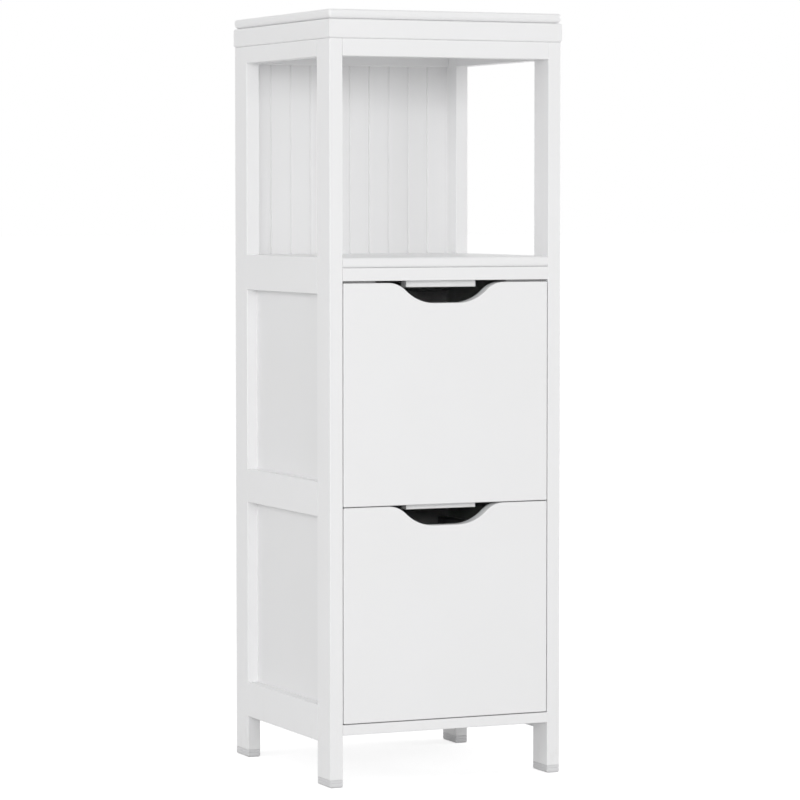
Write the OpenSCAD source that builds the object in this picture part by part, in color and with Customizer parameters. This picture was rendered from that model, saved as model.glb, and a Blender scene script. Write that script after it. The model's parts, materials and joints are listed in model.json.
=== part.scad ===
// Slim bathroom floor cabinet: an open compartment over two inset drawers.
// Millimetres. The origin is on the floor at the middle of the plan, +Z is up and the front faces -Y.

/* [Overall] */
// Width across the top
width = 295; // [280:1:360]
// Depth across the top
depth = 295; // [280:1:360]
// Height from the floor to the upper face of the top
height = 890; // [860:5:950]

/* [Top] */
// Thickness of the top board
top_t = 11; // [10:1:22]
// How far the top stands out past the posts on every side
top_overhang = 1; // [0.5:0.5:8]
// Radius of the top board's upper edge
top_edge_r = 3; // [1:0.5:5]
// Radius of the top board's lower edge
top_under_r = 6; // [1:0.5:7]
// Radius of the top board's corners, seen from above
top_corner_r = 4; // [1:0.5:8]
// Height of the strips under the top board
strip_h = 22; // [14:1:26]
// Width of the strips under the top board
strip_w = 26; // [22:1:34]
// Radius on the long edges of those strips
strip_edge_r = 2.5; // [1:0.5:5]

/* [Posts and rails] */
// Thickness of the posts and rails
frame_t = 16; // [15:1:20]
// Width of each post, seen from the side
post_d = 38; // [34:1:48]
// Radius on the long edges of posts, rails and boards
edge_r = 1; // [0.5:0.25:2]
// Height of the rails right under the top
top_rail_h = 20; // [18:1:30]
// Height of the side rails at the shelf
shelf_rail_h = 42; // [40:1:60]
// Height of the side rails between the two side panels
middle_rail_h = 40; // [30:1:60]
// Height from the floor to the underside of the middle side rails
middle_rail_z = 310; // [260:1:340]
// Height of the lowest side and rear rails
bottom_rail_h = 42; // [36:1:60]
// Height of the front rail under the shelf
front_rail_h = 15; // [12:1:24]
// Height of the rear rail under the shelf
rear_rail_h = 35; // [30:1:50]
// Height from the floor to the underside of the lowest rails
leg_h = 50; // [40:1:70]

/* [Boards and panels] */
// Height from the floor to the upper face of the shelf
shelf_z = 608; // [590:2:640]
// Thickness of the shelf and of the bottom board
board_t = 12; // [12:1:15]
// Radius on the front edges of the shelf
shelf_nose_r = 4; // [1:0.5:5]
// Height of the bottom board's underside above that of the lowest rails
board_rise = 10; // [6:1:14]
// Thickness of the side panels
panel_t = 3; // [3:0.5:5]
// How far each side panel reaches behind its posts and rails
panel_lap = 6; // [4:0.5:8]
// Thickness of the two back panels
back_t = 5; // [4:0.5:6]
// How far the back panels stand in from the rear faces of the posts
back_inset = 5.5; // [5:0.5:8]
// How far the back panels reach into their grooves
back_lap = 6; // [4:0.5:6.5]
// Distance between the grooves of the upper back panel
bead_pitch = 26; // [18:1:40]
// Width of those grooves
bead_w = 3; // [2:0.5:4]
// Depth of those grooves
bead_depth = 1.5; // [1:0.25:2]

/* [Drawer fronts] */
// Thickness of the drawer fronts
front_t = 15; // [14:1:18]
// Height of the lower drawer front
lower_front_h = 248.5; // [230:0.5:260]
// Gap beside, under and between the drawer fronts
front_gap = 1; // [0.5:0.5:4]
// Gap above the upper drawer front
upper_gap = 2.5; // [1:0.5:4]
// Width of the finger cut-out at the top edge
pull_w = 146; // [124:2:160]
// Depth of the finger cut-out
pull_depth = 23.5; // [18:0.5:28]
// Width of the flat stretch at the bottom of the finger cut-out
pull_flat = 30; // [10:2:40]
// Radius of the curves beside that flat stretch
pull_r = 52; // [36:1:56]
// How far the stop rails reach down behind the top edges of the fronts
stop_reach = 5.5; // [3:0.5:8]
// Width of the middle of the stop rails, between their finger reliefs
stop_mid_w = 88; // [60:4:100]
// How far the finger reliefs run past the cut-outs
stop_relief = 10; // [4:1:20]

/* [Drawer boxes] */
// Height of the drawer sides
box_h = 200; // [160:5:215]
// Thickness of the drawer sides
side_t = 12; // [12:1:15]
// Thickness of the drawer backs
box_back_t = 12; // [10:1:15]
// Height of the drawer sides above the lower edge of the front
box_rise = 9; // [6:1:14]
// Distance from each drawer side to the frame beside it
box_side_gap = 5; // [3:0.5:8]
// Distance from a closed drawer box to the back panel
box_rear_gap = 12; // [8:1:30]
// How far the drawer back stands below the sides
back_drop = 8; // [0:1:16]
// Thickness of the drawer bottoms
bottom_t = 3; // [3:0.5:5]
// Height of the drawer bottom above the lower edge of the sides
bottom_rise = 8; // [6:1:12]
// How far the drawer bottom reaches into its grooves
bottom_lap = 5; // [3:0.5:6]

/* [Runners] */
// Height of the runner strips
runner_h = 12; // [10:1:16]
// Depth of the groove that each runner stands in
groove_depth = 6; // [4:0.5:7]

/* [Feet] */
// Height of the foot glides
glide_h = 9; // [6:1:14]
// How far each glide's lower edge is drawn in
glide_bevel = 1.5; // [0.5:0.5:3]

/* [Fittings] */
// Radius of the wooden dowels
dowel_r = 3; // [2.5:0.25:3.5]
// Length of the wooden dowels in the side frames
dowel_len = 30; // [24:1:34]
// Length of the short wooden dowels between the side frames
short_dowel_len = 24; // [20:1:26]
// Radius of the cam locks
cam_r = 6; // [5.5:0.25:6.5]
// Height of the cam locks
cam_h = 9.5; // [9:0.25:10]
// Distance from a board's face to the axis of its cam bolts
cam_axis = 6; // [5.5:0.25:6.5]
// Distance from a board's end to the middle of the cam locks
cam_reach = 24; // [20:1:30]
// Length of the cam bolts inside the piece that they are screwed into
cam_thread = 10; // [8:0.5:11]
// Radius of the screws
screw_r = 1.75; // [1.5:0.25:2]
// Radius of the screw heads
screw_head_r = 3.5; // [3:0.25:4]
// Length of the runner screws
runner_screw_len = 20; // [18:1:22]
// Length of the screws that hold the top
top_screw_len = 32; // [28:1:34]
// Length of the screws through the drawer sides
box_screw_len = 35; // [28:1:40]

/* [Hidden] */

$fn = 32;
paint = "#f2f2f3";
box_paint = "#909093";
birch = "#d8bd8f";
steel = "#b9bcc0";
zinc = "#a2a5a9";
grey = "#dfdfe1";

// Clearances: a fastener in its hole, a panel in its groove, a drawer on its runner,
// a front before its stop rail, a drawer box over the stop rail below it
fit = 0.05;
panel_fit = 0.2;
slide_gap = 0.3;
lift_gap = 0.7;
runner_side_gap = 0.5;
runner_end_gap = 1;
stop_gap = 1;
stop_clear = 1.5;
// How far a cutter runs past the face that it opens
past = 1;

// Outer and inner faces of the frame
out_x = width / 2 - top_overhang;
out_y = depth / 2 - top_overhang;
in_x = out_x - frame_t;
post_in_y = out_y - post_d;
rail_in_y = out_y - frame_t;
post_mid_x = out_x - frame_t / 2;
rail_mid_y = out_y - frame_t / 2;
post_mid_y = out_y - post_d / 2;

// Levels, from the floor up
bottom_rail_top = leg_h + bottom_rail_h;
board_z = leg_h + board_rise;
floor_z = board_z + board_t;
shelf_under = shelf_z - board_t;
front_rail_z = shelf_under - front_rail_h;
rear_rail_z = shelf_under - rear_rail_h;
side_shelf_z = shelf_z - shelf_rail_h;
post_top = height - top_t - strip_h;
top_rail_z = post_top - top_rail_h;
middle_rail_top = middle_rail_z + middle_rail_h;

// Back panels: front and rear face, and the ends of each one
back_rear_y = out_y - back_inset;
back_front_y = back_rear_y - back_t;
back_half_w = in_x + back_lap - panel_fit;
back_upper_z = [shelf_under - back_lap + panel_fit, top_rail_z + back_lap - panel_fit];
back_lower_z = [bottom_rail_top - back_lap + panel_fit, rear_rail_z + back_lap - panel_fit];

// Side panels: the pair of rails that each one fills
side_upper_z = [middle_rail_top, side_shelf_z];
side_lower_z = [bottom_rail_top, middle_rail_z];
panel_out_x = in_x + panel_t + panel_fit;

// Drawer fronts: lower edge and height of each one
lower_front_z = floor_z + front_gap;
upper_front_z = lower_front_z + lower_front_h + front_gap;
upper_front_h = front_rail_z - upper_gap - upper_front_z;
front_half_w = in_x - front_gap;
front_rear_y = front_t - out_y;

// Drawer boxes
box_out_x = in_x - box_side_gap;
box_in_x = box_out_x - side_t;
box_rear_y = back_front_y - box_rear_gap;
box_len = box_rear_y - front_rear_y;
runner_t = box_side_gap + groove_depth - runner_side_gap;
runner_in_x = in_x - runner_t;
runner_half_y = rail_in_y;
groove_h = runner_h + slide_gap + lift_gap;
runner_screw_y = post_in_y + post_d / 3;

// Stop rails: front and rear face, height, undersides, those over the reliefs, and how far they are let
// into the posts
stop_y = [max(front_rear_y + stop_gap, -rail_in_y), -post_in_y - panel_lap - stop_gap];
stop_h = stop_reach + front_gap + box_rise - stop_clear;
stop_z = [lower_front_z + lower_front_h - stop_reach, upper_front_z + upper_front_h - stop_reach];
stop_relief_z = [upper_front_z, front_rail_z];
stop_tenon = 4;

// Finger cut-out: rise and run of each side curve, and the radius that rounds it over at the top edge
pull_run = (pull_w - pull_flat) / 2;
pull_sum_r = (pull_run * pull_run + pull_depth * pull_depth) / (2 * pull_depth);
pull_lip_r = pull_sum_r - pull_r;
pull_turn = asin(pull_run / pull_sum_r);
pull_steps = 10;

// Places of the fittings along the boards
frame_dowel_x = (panel_out_x + out_x) / 2;
dowel_tip = 1;
// A rail taller than this has two dowels at each end
tall_rail = 32;
// Wood left between a short dowel's end and the face beyond it
dowel_cover = 5;
cam_y = 70;
top_screw_y = 60;
box_dowel_edge = 25;
box_cam_edge = 60;
box_screw_edge = 30;
cam_pocket_r = cam_r + fit;
bolt_r = 2.5;
bolt_hole_r = 3;
bolt_neck_r = 1.6;
bolt_ball_h = 4;
bolt_taper = 1;
screw_head_h = 2.2;
screw_point = 4;
// Length and width of the cross in a head, as shares of its radius
recess_arm = 1.3;
recess_w = 0.25;
// Radius of the cross in a cam lock, as a share of the lock's
lock_recess = 0.7;
spigot_r = 2;
spigot_len = 14;

// A rectangle a by b round the origin, with its corners rounded to r
module rounded_rect(a, b, r) {
    square([a - 2 * r, b], center = true);
    square([a, b - 2 * r], center = true);
    for (i = [-1, 1], j = [-1, 1])
        translate([i * (a / 2 - r), j * (b / 2 - r)]) circle(r);
}

// A box from corner lo to corner hi
module block(lo, hi) {
    translate(lo) cube(hi - lo);
}

// A bar from corner lo to corner hi with its four long edges rounded to r; along is the axis it runs on
module bar(lo, hi, along, r = edge_r) {
    size = hi - lo;
    mid = (lo + hi) / 2;
    translate(mid)
        if (along == "x")
            rotate([0, 90, 0]) linear_extrude(size.x, center = true)
                rounded_rect(size.z, size.y, r);
        else if (along == "y")
            rotate([90, 0, 0]) linear_extrude(size.y, center = true)
                rounded_rect(size.x, size.z, r);
        else
            linear_extrude(size.z, center = true)
                rounded_rect(size.x, size.y, r);
}

// Draws its children once on the right and once mirrored to the left
module both_sides() {
    children();
    mirror([1, 0, 0]) children();
}

// Draws its children once at the back and once mirrored to the front
module both_ends() {
    children();
    mirror([0, 1, 0]) children();
}

// Mirrors its children to the left
module on_left() {
    mirror([1, 0, 0]) children();
}

// Lays what stands on +Z along +X, or along +Y
module along_x() {
    rotate([0, 90, 0]) children();
}
module along_y() {
    rotate([-90, 0, 0]) children();
}

// A dowel of length len, centred on its own middle, with its ends bevelled; clear widens it to its hole
module dowel(len, clear = 0) {
    r = dowel_r + clear;
    half = len / 2 + clear;
    rotate_extrude()
        polygon([[0, -half], [r - dowel_tip, -half], [r, dowel_tip - half],
                 [r, half - dowel_tip], [r - dowel_tip, half], [0, half]]);
}

// A countersunk screw with its head at the origin and its tip at +Z; clear widens it to its hole
module screw(len, clear = 0) {
    r = screw_r + clear;
    head = screw_head_r + clear;
    difference() {
        rotate_extrude()
            polygon([[0, 0], [head, 0], [r, screw_head_h + clear], [r, len - screw_point], [0, len + clear]]);
        if (clear == 0)
            cross_recess(screw_head_r);
    }
}

// The cross in a screw head or cam lock whose face is at the origin
module cross_recess(r) {
    for (turn = [0, 90])
        rotate([0, 0, turn]) cube([recess_arm * r, recess_w * r, r], center = true);
}

// A cam bolt on +Z: its thread ends at the origin's far side, its ball lies in the cam lock
module cam_bolt() {
    neck_z = cam_reach - bolt_ball_h;
    rotate_extrude()
        polygon([[0, -cam_thread], [bolt_r, -cam_thread], [bolt_r, neck_z - bolt_ball_h],
                 [bolt_neck_r, neck_z - bolt_ball_h + bolt_taper], [bolt_neck_r, neck_z],
                 [bolt_r, neck_z + bolt_taper], [bolt_r, cam_reach - bolt_taper],
                 [bolt_r - bolt_taper, cam_reach], [0, cam_reach]]);
}

// The hole for a cam bolt: a tight hole for its thread and a clear one for its shank
module cam_bolt_hole() {
    translate([0, 0, -cam_thread - fit]) cylinder(h = cam_thread + fit + past, r = bolt_r + fit);
    cylinder(h = cam_reach, r = bolt_hole_r);
}

// A cam lock on -Z: its face is at z 0 and the bolt comes in from +X at cam_axis below it
module cam_lock() {
    difference() {
        translate([0, 0, -cam_h]) cylinder(h = cam_h, r = cam_r);
        cross_recess(lock_recess * cam_r);
        translate([0, 0, -cam_axis]) along_x() translate([0, 0, -bolt_hole_r])
            cylinder(h = cam_r + bolt_hole_r + past, r = bolt_hole_r);
    }
}

module cam_pocket() {
    translate([0, 0, -cam_h - fit]) cylinder(h = cam_h + fit + past, r = cam_pocket_r);
}

// Heights of the dowels at a rail's end, from its underside z and its height h
function rail_dowel_z(z, h) = h > tall_rail ? [z + h / 4, z + 3 * h / 4] : [z + h / 2];
frame_dowel_z = concat(
    rail_dowel_z(top_rail_z, top_rail_h), rail_dowel_z(side_shelf_z, shelf_rail_h),
    rail_dowel_z(middle_rail_z, middle_rail_h), rail_dowel_z(leg_h, bottom_rail_h));

// The dowels between the rails and posts of the right side frame
module frame_dowel_set(clear = 0) {
    both_ends()
        for (z = frame_dowel_z)
            translate([frame_dowel_x, post_in_y, z]) along_y() dowel(dowel_len, clear);
}

// Heights and depths of the short dowels at the right end of each crosswise piece
rear_groove_free = (rear_rail_h - 2 * back_lap) / 2;
cross_dowel_sites = [
    [-rail_mid_y, front_rail_z + front_rail_h / 2],
    [rail_mid_y, post_top - (top_rail_h - back_lap) / 2],
    [rail_mid_y, rear_rail_z + back_lap + rear_groove_free],
    [rail_mid_y, leg_h + (bottom_rail_h - back_lap) / 4],
    [rail_mid_y, leg_h + 3 * (bottom_rail_h - back_lap) / 4],
    [0, shelf_z - board_t / 2],
    [0, board_z + board_t / 2]
];
module cross_dowel_set(clear = 0) {
    for (site = cross_dowel_sites)
        translate([out_x - dowel_cover - short_dowel_len / 2, site.x, site.y]) along_x()
            dowel(short_dowel_len, clear);
}

// The cam fittings at the right end of the shelf, the bottom board and the front top rail.
// Each is drawn with the board's end at the origin, its bolt on -X and its lock's face on -Z.
module at_cam_sites() {
    for (y = [-cam_y, cam_y], z = [shelf_under, board_z])
        translate([in_x, y, z]) mirror([0, 0, 1]) children();
    translate([in_x, -rail_in_y, top_rail_z + top_rail_h / 2]) rotate([-90, 0, 0]) children();
}
module cam_bolt_set() {
    at_cam_sites() translate([0, 0, -cam_axis]) along_x() mirror([0, 0, 1]) cam_bolt();
}
module cam_lock_set() {
    at_cam_sites() translate([-cam_reach, 0, 0]) cam_lock();
}
module cam_hole_set() {
    at_cam_sites() {
        translate([0, 0, -cam_axis]) along_x() mirror([0, 0, 1]) cam_bolt_hole();
        translate([-cam_reach, 0, 0]) cam_pocket();
    }
}

// The right-hand runner screws, heads on the runners' inner faces
upper_runner_z = upper_front_z + box_rise + box_h / 2;
lower_runner_z = lower_front_z + box_rise + box_h / 2;
module runner_screw_set(clear = 0) {
    for (z = [upper_runner_z, lower_runner_z], y = [-runner_screw_y, runner_screw_y])
        translate([runner_in_x, y, z]) along_x() screw(runner_screw_len, clear);
}

// The screws that come up through the right top rail into the strip above it
module side_top_screws(clear = 0) {
    for (y = [-top_screw_y, top_screw_y])
        translate([post_mid_x, y, top_rail_z]) screw(top_screw_len, clear);
}

// The spigot that holds a glide in the foot of a post
module spigot(clear = 0) {
    translate([post_mid_x, post_mid_y, glide_h - past])
        cylinder(h = spigot_len + past + clear, r = spigot_r + clear);
}

// A side panel between two levels; clear widens it to its rebate
module side_panel(z, clear = 0) {
    reach = panel_lap - panel_fit + clear;
    block([in_x + panel_fit - (clear > 0 ? past + panel_fit : 0), -post_in_y - reach, z[0] - reach],
          [panel_out_x, post_in_y + reach, z[1] + reach]);
}
module side_panel_rebates() {
    side_panel(side_upper_z, panel_fit);
    side_panel(side_lower_z, panel_fit);
}

// A back panel between two levels; clear widens it to its groove
module back_panel(z, clear = 0) {
    block([-back_half_w - clear, back_front_y - clear, z[0] - clear],
          [back_half_w + clear, back_rear_y + clear, z[1] + clear]);
}
module back_panel_grooves() {
    back_panel(back_upper_z, panel_fit);
    back_panel(back_lower_z, panel_fit);
}

// The two stop rails across the cabinet, behind the top edges of the drawer fronts. Their undersides are
// cut back beside the middle, where fingers reach in. clear widens them to their housings in the posts.
module stop_rail_pair(clear = 0) {
    half = in_x + stop_tenon - fit + clear;
    for (level = [0, 1])
        difference() {
            bar([-half, stop_y[0] - clear, stop_z[level] - clear],
                [half, stop_y[1] + clear, stop_z[level] + stop_h + clear], "x");
            both_sides()
                block([stop_mid_w / 2, stop_y[0] - past, stop_z[level] - past],
                      [pull_w / 2 + stop_relief, stop_y[1] + past, stop_relief_z[level]]);
        }
}

// Posts of the right side
module post(rear) {
    far = rear ? 1 : -1;
    near_y = far * post_in_y;
    far_y = far * out_y;
    difference() {
        bar([in_x, min(near_y, far_y), glide_h], [out_x, max(near_y, far_y), post_top], "z");
        side_panel_rebates();
        frame_dowel_set(fit);
        cross_dowel_set(fit);
        runner_screw_set(fit);
        if (rear) {
            back_panel_grooves();
            spigot(fit);
        } else {
            mirror([0, 1, 0]) spigot(fit);
            cam_hole_set();
            stop_rail_pair(fit);
        }
    }
}
module left_front_post() { color(paint) on_left() post(false); }
module left_back_post() { color(paint) on_left() post(true); }
module right_front_post() { color(paint) post(false); }
module right_back_post() { color(paint) post(true); }

// A rail of the right side frame between its two posts
module side_rail(z, h) {
    difference() {
        bar([in_x, -post_in_y, z], [out_x, post_in_y, z + h], "y");
        frame_dowel_set(fit);
        children();
    }
}
module side_top_rail() {
    side_rail(top_rail_z, top_rail_h) side_top_screws(fit);
}
module side_shelf_rail() {
    side_rail(side_shelf_z, shelf_rail_h) {
        side_panel_rebates();
        cross_dowel_set(fit);
        cam_hole_set();
    }
}
module side_middle_rail() {
    side_rail(middle_rail_z, middle_rail_h) side_panel_rebates();
}
module side_bottom_rail() {
    side_rail(leg_h, bottom_rail_h) {
        side_panel_rebates();
        cross_dowel_set(fit);
        cam_hole_set();
    }
}
module left_top_rail() { color(paint) on_left() side_top_rail(); }
module left_shelf_rail() { color(paint) on_left() side_shelf_rail(); }
module left_middle_rail() { color(paint) on_left() side_middle_rail(); }
module left_bottom_rail() { color(paint) on_left() side_bottom_rail(); }
module right_top_rail() { color(paint) side_top_rail(); }
module right_shelf_rail() { color(paint) side_shelf_rail(); }
module right_middle_rail() { color(paint) side_middle_rail(); }
module right_bottom_rail() { color(paint) side_bottom_rail(); }

module left_upper_panel() { color(paint) on_left() side_panel(side_upper_z); }
module left_lower_panel() { color(paint) on_left() side_panel(side_lower_z); }
module right_upper_panel() { color(paint) side_panel(side_upper_z); }
module right_lower_panel() { color(paint) side_panel(side_lower_z); }

// The section of the top board: small rounds above, larger rounds below
module top_section(w) {
    difference() {
        square([w, top_t], center = true);
        for (side = [-1, 1], part = [[1, top_edge_r], [-1, top_under_r]])
            translate([side * (w / 2 - part[1]), part[0] * (top_t / 2 - part[1])])
                difference() {
                    translate([side > 0 ? 0 : -part[1] - past, part[0] > 0 ? 0 : -part[1] - past])
                        square(part[1] + past);
                    circle(part[1]);
                }
    }
}
module top_board() {
    color(paint) translate([0, 0, height - top_t / 2])
        intersection() {
            linear_extrude(top_t, center = true) rounded_rect(width, depth, top_corner_r);
            rotate([90, 0, 0]) linear_extrude(depth, center = true) top_section(width);
            rotate([90, 0, 90]) linear_extrude(width, center = true) top_section(depth);
        }
}

// A strip along the front of a top that is w wide and d deep, mitred at both ends
module top_strip(w, d) {
    z = post_top;
    difference() {
        translate([0, strip_w / 2 - d / 2, z + strip_h / 2])
            rotate([90, 0, 90]) linear_extrude(w, center = true)
                rounded_rect(strip_w, strip_h, strip_edge_r);
        for (end = [-1, 1])
            translate([end * w / 2, -d / 2, z - past])
                linear_extrude(strip_h + 2 * past)
                    polygon([[0, 0], [-end * 2 * strip_w, 2 * strip_w], [end * strip_w, 2 * strip_w],
                             [end * strip_w, -strip_w], [end * strip_w / 2, -strip_w / 2]]);
    }
}
module top_strip_front() { color(paint) top_strip(width, depth); }
module top_strip_back() { color(paint) mirror([0, 1, 0]) top_strip(width, depth); }
module side_strip() {
    difference() {
        rotate([0, 0, 90]) top_strip(depth, width);
        side_top_screws(fit);
    }
}
module top_strip_left() { color(paint) on_left() side_strip(); }
module top_strip_right() { color(paint) side_strip(); }

// Rails between the two side frames
module cross_rail(rear, z, h) {
    y = rear ? [rail_in_y, out_y] : [-out_y, -rail_in_y];
    difference() {
        bar([-in_x, y[0], z], [in_x, y[1], z + h], "x");
        both_sides() children();
    }
}
module front_top_rail() {
    color(paint) cross_rail(false, top_rail_z, top_rail_h) cam_hole_set();
}
module front_shelf_rail() {
    color(paint) cross_rail(false, front_rail_z, front_rail_h) cross_dowel_set(fit);
}
module rear_rail(z, h) {
    difference() {
        cross_rail(true, z, h) cross_dowel_set(fit);
        back_panel_grooves();
    }
}
module rear_top_rail() { color(paint) rear_rail(top_rail_z, top_rail_h); }
module rear_shelf_rail() { color(paint) rear_rail(rear_rail_z, rear_rail_h); }
module rear_bottom_rail() { color(paint) rear_rail(leg_h, bottom_rail_h); }

// The shelf runs from the front face to the back panel, the bottom board to the rear rail.
// The front edges are rounded to nose_r.
module board(z, rear_y, nose_r) {
    difference() {
        union() {
            bar([-in_x, -out_y, z], [in_x, board_t - out_y, z + board_t], "x", nose_r);
            bar([-in_x, board_t / 2 - out_y, z], [in_x, rear_y, z + board_t], "x");
        }
        both_sides() {
            cross_dowel_set(fit);
            cam_hole_set();
        }
    }
}
module shelf_board() { color(paint) board(shelf_under, back_front_y - panel_fit, shelf_nose_r); }
module bottom_board() { color(paint) board(board_z, rail_in_y, edge_r); }

// The upper back panel has upright V grooves on the side that shows
bead_count = floor((in_x - bead_w) / bead_pitch);
module back_panel_upper() {
    color(paint) difference() {
        back_panel(back_upper_z);
        for (i = [-bead_count:bead_count])
            translate([i * bead_pitch, back_front_y, back_upper_z[0] - past])
                linear_extrude(back_upper_z[1] - back_upper_z[0] + 2 * past)
                    polygon([[-bead_w / 2, 0], [-bead_w / 2, -past], [bead_w / 2, -past],
                             [bead_w / 2, 0], [0, bead_depth]]);
    }
}
module back_panel_lower() { color(paint) back_panel(back_lower_z); }

// Runner strips on the posts of the right side
module runner(z) {
    difference() {
        bar([runner_in_x, -runner_half_y + runner_end_gap, z - runner_h / 2],
            [in_x, runner_half_y, z + runner_h / 2], "y");
        runner_screw_set(fit);
    }
}
module left_upper_runner() { color(birch) on_left() runner(upper_runner_z); }
module left_lower_runner() { color(birch) on_left() runner(lower_runner_z); }
module right_upper_runner() { color(birch) runner(upper_runner_z); }
module right_lower_runner() { color(birch) runner(lower_runner_z); }

// A glide under each post: a bevelled pad with a spigot
module foot_glides() {
    bevel_side = glide_bevel / cos(45);
    color(grey) both_sides() both_ends() {
        difference() {
            translate([post_mid_x, post_mid_y, 0])
                linear_extrude(glide_h) rounded_rect(frame_t, post_d, edge_r);
            for (part = [[0, frame_t, post_d], [90, post_d, frame_t]], side = [-1, 1])
                translate([post_mid_x, post_mid_y, 0]) rotate([0, 0, part[0]])
                    translate([side * part[1] / 2, 0, 0])
                        rotate([0, 45, 0])
                            cube([bevel_side, part[2] + past, bevel_side], center = true);
        }
        spigot();
    }
}

module drawer_stop_rails() { color(paint) stop_rail_pair(); }
module frame_dowels() { color(birch) both_sides() frame_dowel_set(); }
module cross_dowels() { color(birch) both_sides() cross_dowel_set(); }
module cam_bolts() { color(steel) both_sides() cam_bolt_set(); }
module cam_locks() { color(zinc) both_sides() cam_lock_set(); }
module runner_screws() { color(steel) both_sides() runner_screw_set(); }
module top_screws() { color(steel) both_sides() side_top_screws(); }

// Outline of the finger cut-out's right half, from the middle of the flat stretch to the top edge
function pull_half() = concat(
    [for (i = [0:pull_steps]) let (a = pull_turn * i / pull_steps)
        [pull_flat / 2 + pull_r * sin(a), -pull_depth + pull_r * (1 - cos(a))]],
    [for (i = [1:pull_steps]) let (a = pull_turn * (1 - i / pull_steps))
        [pull_w / 2 - pull_lip_r * sin(a), -pull_lip_r * (1 - cos(a))]]);
module finger_pull() {
    right = pull_half();
    count = len(right);
    left = [for (i = [1:count]) [-right[count - i].x, right[count - i].y]];
    polygon(concat(right, [[pull_w / 2, past], [-pull_w / 2, past]], left));
}

// Dowels, cam fittings and screws at the right side of a drawer whose sides stand at height z
module drawer_dowel_set(z, clear = 0) {
    for (edge = [box_dowel_edge, box_h - box_dowel_edge])
        translate([box_out_x - side_t / 2, dowel_cover + short_dowel_len / 2 - out_y, z + edge])
            along_y() dowel(short_dowel_len, clear);
}
module at_drawer_cam(z) {
    translate([box_in_x, front_rear_y, z + box_cam_edge])
        rotate([0, -90, 0]) rotate([0, 0, -90]) children();
}
module drawer_bolt_set(z) {
    at_drawer_cam(z) translate([0, 0, -cam_axis]) along_x() mirror([0, 0, 1]) cam_bolt();
}
module drawer_lock_set(z) {
    at_drawer_cam(z) translate([-cam_reach, 0, 0]) cam_lock();
}
module drawer_cam_holes(z) {
    at_drawer_cam(z) {
        translate([0, 0, -cam_axis]) along_x() mirror([0, 0, 1]) cam_bolt_hole();
        translate([-cam_reach, 0, 0]) cam_pocket();
    }
}
module drawer_screw_set(z, clear = 0) {
    for (edge = [box_screw_edge, box_h - box_screw_edge])
        translate([box_out_x, box_rear_y - box_back_t / 2, z + edge])
            along_x() mirror([0, 0, 1]) screw(box_screw_len, clear);
}

// The drawer bottom; clear widens it to its grooves
module drawer_bottom(z, clear = 0) {
    half_x = box_in_x + bottom_lap - panel_fit + clear;
    block([-half_x, front_rear_y - bottom_lap + panel_fit - clear, z + bottom_rise - clear],
          [half_x, box_rear_y - box_back_t + bottom_lap - panel_fit + clear, z + bottom_rise + bottom_t + clear]);
}

module drawer_front(front_z, h) {
    z = front_z + box_rise;
    difference() {
        bar([-front_half_w, -out_y, front_z], [front_half_w, front_rear_y, front_z + h], "x");
        translate([0, front_rear_y + past, front_z + h])
            rotate([90, 0, 0]) linear_extrude(front_t + 2 * past) finger_pull();
        both_sides() {
            drawer_dowel_set(z, fit);
            drawer_cam_holes(z);
        }
        drawer_bottom(z, panel_fit);
    }
}
// The right drawer side, with the groove for its runner on the outside
module drawer_side(front_z) {
    z = front_z + box_rise;
    runner_top = z + box_h / 2 + runner_h / 2;
    difference() {
        bar([box_in_x, front_rear_y, z], [box_out_x, box_rear_y, z + box_h], "y");
        block([box_out_x - groove_depth, front_rear_y - past, runner_top + slide_gap - groove_h],
              [box_out_x + past, box_rear_y + past, runner_top + slide_gap]);
        drawer_dowel_set(z, fit);
        drawer_cam_holes(z);
        drawer_screw_set(z, fit);
        drawer_bottom(z, panel_fit);
    }
}
module drawer_back(front_z) {
    z = front_z + box_rise;
    difference() {
        bar([-box_in_x, box_rear_y - box_back_t, z], [box_in_x, box_rear_y, z + box_h - back_drop], "x");
        both_sides() drawer_screw_set(z, fit);
        drawer_bottom(z, panel_fit);
    }
}

module upper_drawer_front() { color(paint) drawer_front(upper_front_z, upper_front_h); }
module upper_drawer_left_side() { color(box_paint) on_left() drawer_side(upper_front_z); }
module upper_drawer_right_side() { color(box_paint) drawer_side(upper_front_z); }
module upper_drawer_back() { color(box_paint) drawer_back(upper_front_z); }
module upper_drawer_bottom() { color(box_paint) drawer_bottom(upper_front_z + box_rise); }
module upper_drawer_dowels() { color(birch) both_sides() drawer_dowel_set(upper_front_z + box_rise); }
module upper_drawer_cam_bolts() { color(steel) both_sides() drawer_bolt_set(upper_front_z + box_rise); }
module upper_drawer_cam_locks() { color(zinc) both_sides() drawer_lock_set(upper_front_z + box_rise); }
module upper_drawer_screws() { color(steel) both_sides() drawer_screw_set(upper_front_z + box_rise); }

module lower_drawer_front() { color(paint) drawer_front(lower_front_z, lower_front_h); }
module lower_drawer_left_side() { color(box_paint) on_left() drawer_side(lower_front_z); }
module lower_drawer_right_side() { color(box_paint) drawer_side(lower_front_z); }
module lower_drawer_back() { color(box_paint) drawer_back(lower_front_z); }
module lower_drawer_bottom() { color(box_paint) drawer_bottom(lower_front_z + box_rise); }
module lower_drawer_dowels() { color(birch) both_sides() drawer_dowel_set(lower_front_z + box_rise); }
module lower_drawer_cam_bolts() { color(steel) both_sides() drawer_bolt_set(lower_front_z + box_rise); }
module lower_drawer_cam_locks() { color(zinc) both_sides() drawer_lock_set(lower_front_z + box_rise); }
module lower_drawer_screws() { color(steel) both_sides() drawer_screw_set(lower_front_z + box_rise); }

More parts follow.
